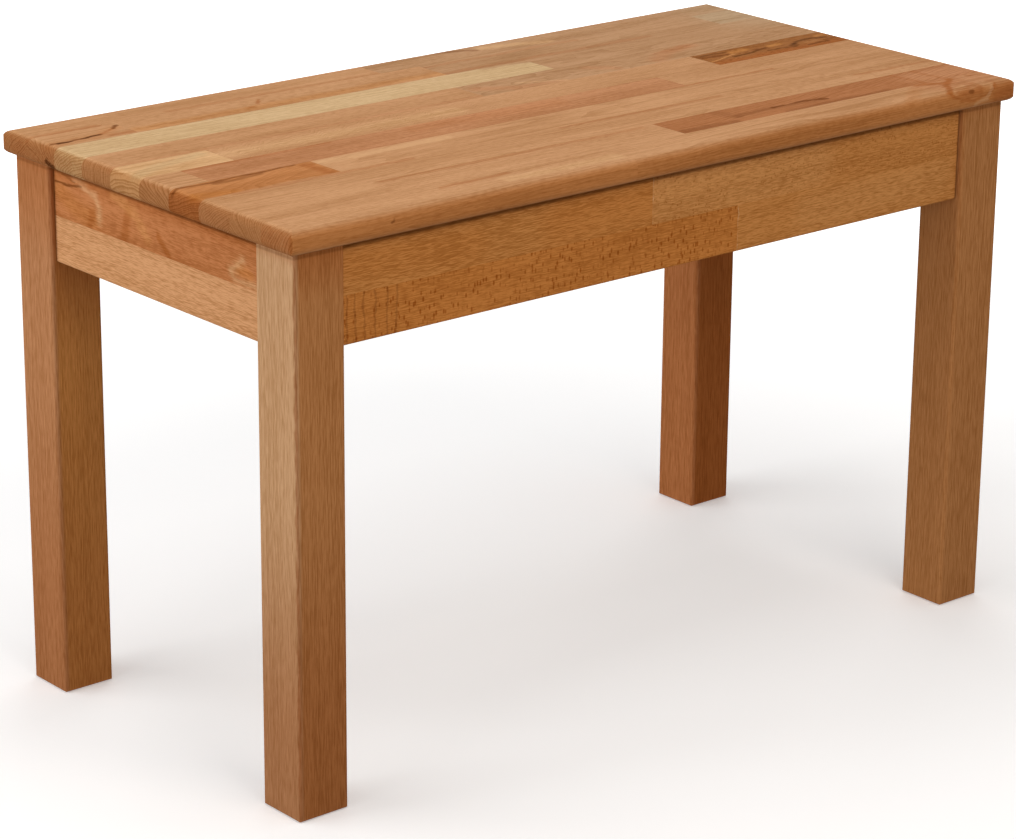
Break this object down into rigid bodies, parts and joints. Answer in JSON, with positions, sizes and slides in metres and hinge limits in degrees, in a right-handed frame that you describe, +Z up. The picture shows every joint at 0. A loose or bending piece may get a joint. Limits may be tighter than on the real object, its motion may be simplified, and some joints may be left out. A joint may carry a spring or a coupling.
{
  "type": "wooden bench",
  "caption": "Backless rectangular bench of solid beech: an edge-glued stave board on square legs and an apron frame, drawn together by steel corner brackets.",
  "frame": {"origin": "on the floor, under the middle of the seat board", "axes": "+X along the bench to the right, +Y from the front to the back, +Z up"},
  "size_m": [0.75, 0.375, 0.46],
  "materials": {
    "seat_beech": "oiled, satin",
    "apron_beech": "oiled, satin",
    "leg_beech": "oiled, satin",
    "button_beech": "bare, planed",
    "bracket_steel": "zinc-plated folded sheet",
    "fastener_steel": "zinc-plated"
  },
  "bodies": {
    "root": {"back_apron_lower_stave_a": "apron_beech", "back_apron_lower_stave_b": "apron_beech", "back_apron_upper_stave_a": "apron_beech", "back_apron_upper_stave_b": "apron_beech", "bolt_nuts": "fastener_steel", "bolt_washers": "fastener_steel", "bracket_screws": "fastener_steel", "button_screws": "fastener_steel", "corner_bracket_back_left": "bracket_steel", "corner_bracket_back_right": "bracket_steel", "corner_bracket_front_left": "bracket_steel", "corner_bracket_front_right": "bracket_steel", "front_apron_lower_stave_a": "apron_beech", "front_apron_lower_stave_b": "apron_beech", "front_apron_upper_stave_a": "apron_beech", "front_apron_upper_stave_b": "apron_beech", "hanger_bolts": "fastener_steel", "left_apron_lower_stave": "apron_beech", "left_apron_upper_stave": "apron_beech", "leg_back_left": "leg_beech", "leg_back_right": "leg_beech", "leg_front_left": "leg_beech", "leg_front_right": "leg_beech", "right_apron_lower_stave": "apron_beech", "right_apron_upper_stave": "apron_beech", "seat_button_back_left": "button_beech", "seat_button_back_right": "button_beech", "seat_button_front_left": "button_beech", "seat_button_front_right": "button_beech", "seat_button_left": "button_beech", "seat_button_right": "button_beech", "seat_row10_stave_a": "seat_beech", "seat_row10_stave_b": "seat_beech", "seat_row1_stave_a": "seat_beech", "seat_row1_stave_b": "seat_beech", "seat_row2_stave_a": "seat_beech", "seat_row2_stave_b": "seat_beech", "seat_row2_stave_c": "seat_beech", "seat_row2_stave_d": "seat_beech", "seat_row3_stave_a": "seat_beech", "seat_row3_stave_b": "seat_beech", "seat_row4_stave_a": "seat_beech", "seat_row4_stave_b": "seat_beech", "seat_row5_stave_a": "seat_beech", "seat_row5_stave_b": "seat_beech", "seat_row5_stave_c": "seat_beech", "seat_row6_stave_a": "seat_beech", "seat_row6_stave_b": "seat_beech", "seat_row6_stave_c": "seat_beech", "seat_row7_stave_a": "seat_beech", "seat_row7_stave_b": "seat_beech", "seat_row8_stave_a": "seat_beech", "seat_row8_stave_b": "seat_beech", "seat_row9_stave_a": "seat_beech", "seat_row9_stave_b": "seat_beech", "seat_row9_stave_c": "seat_beech"}
  },
  "joints": []
}
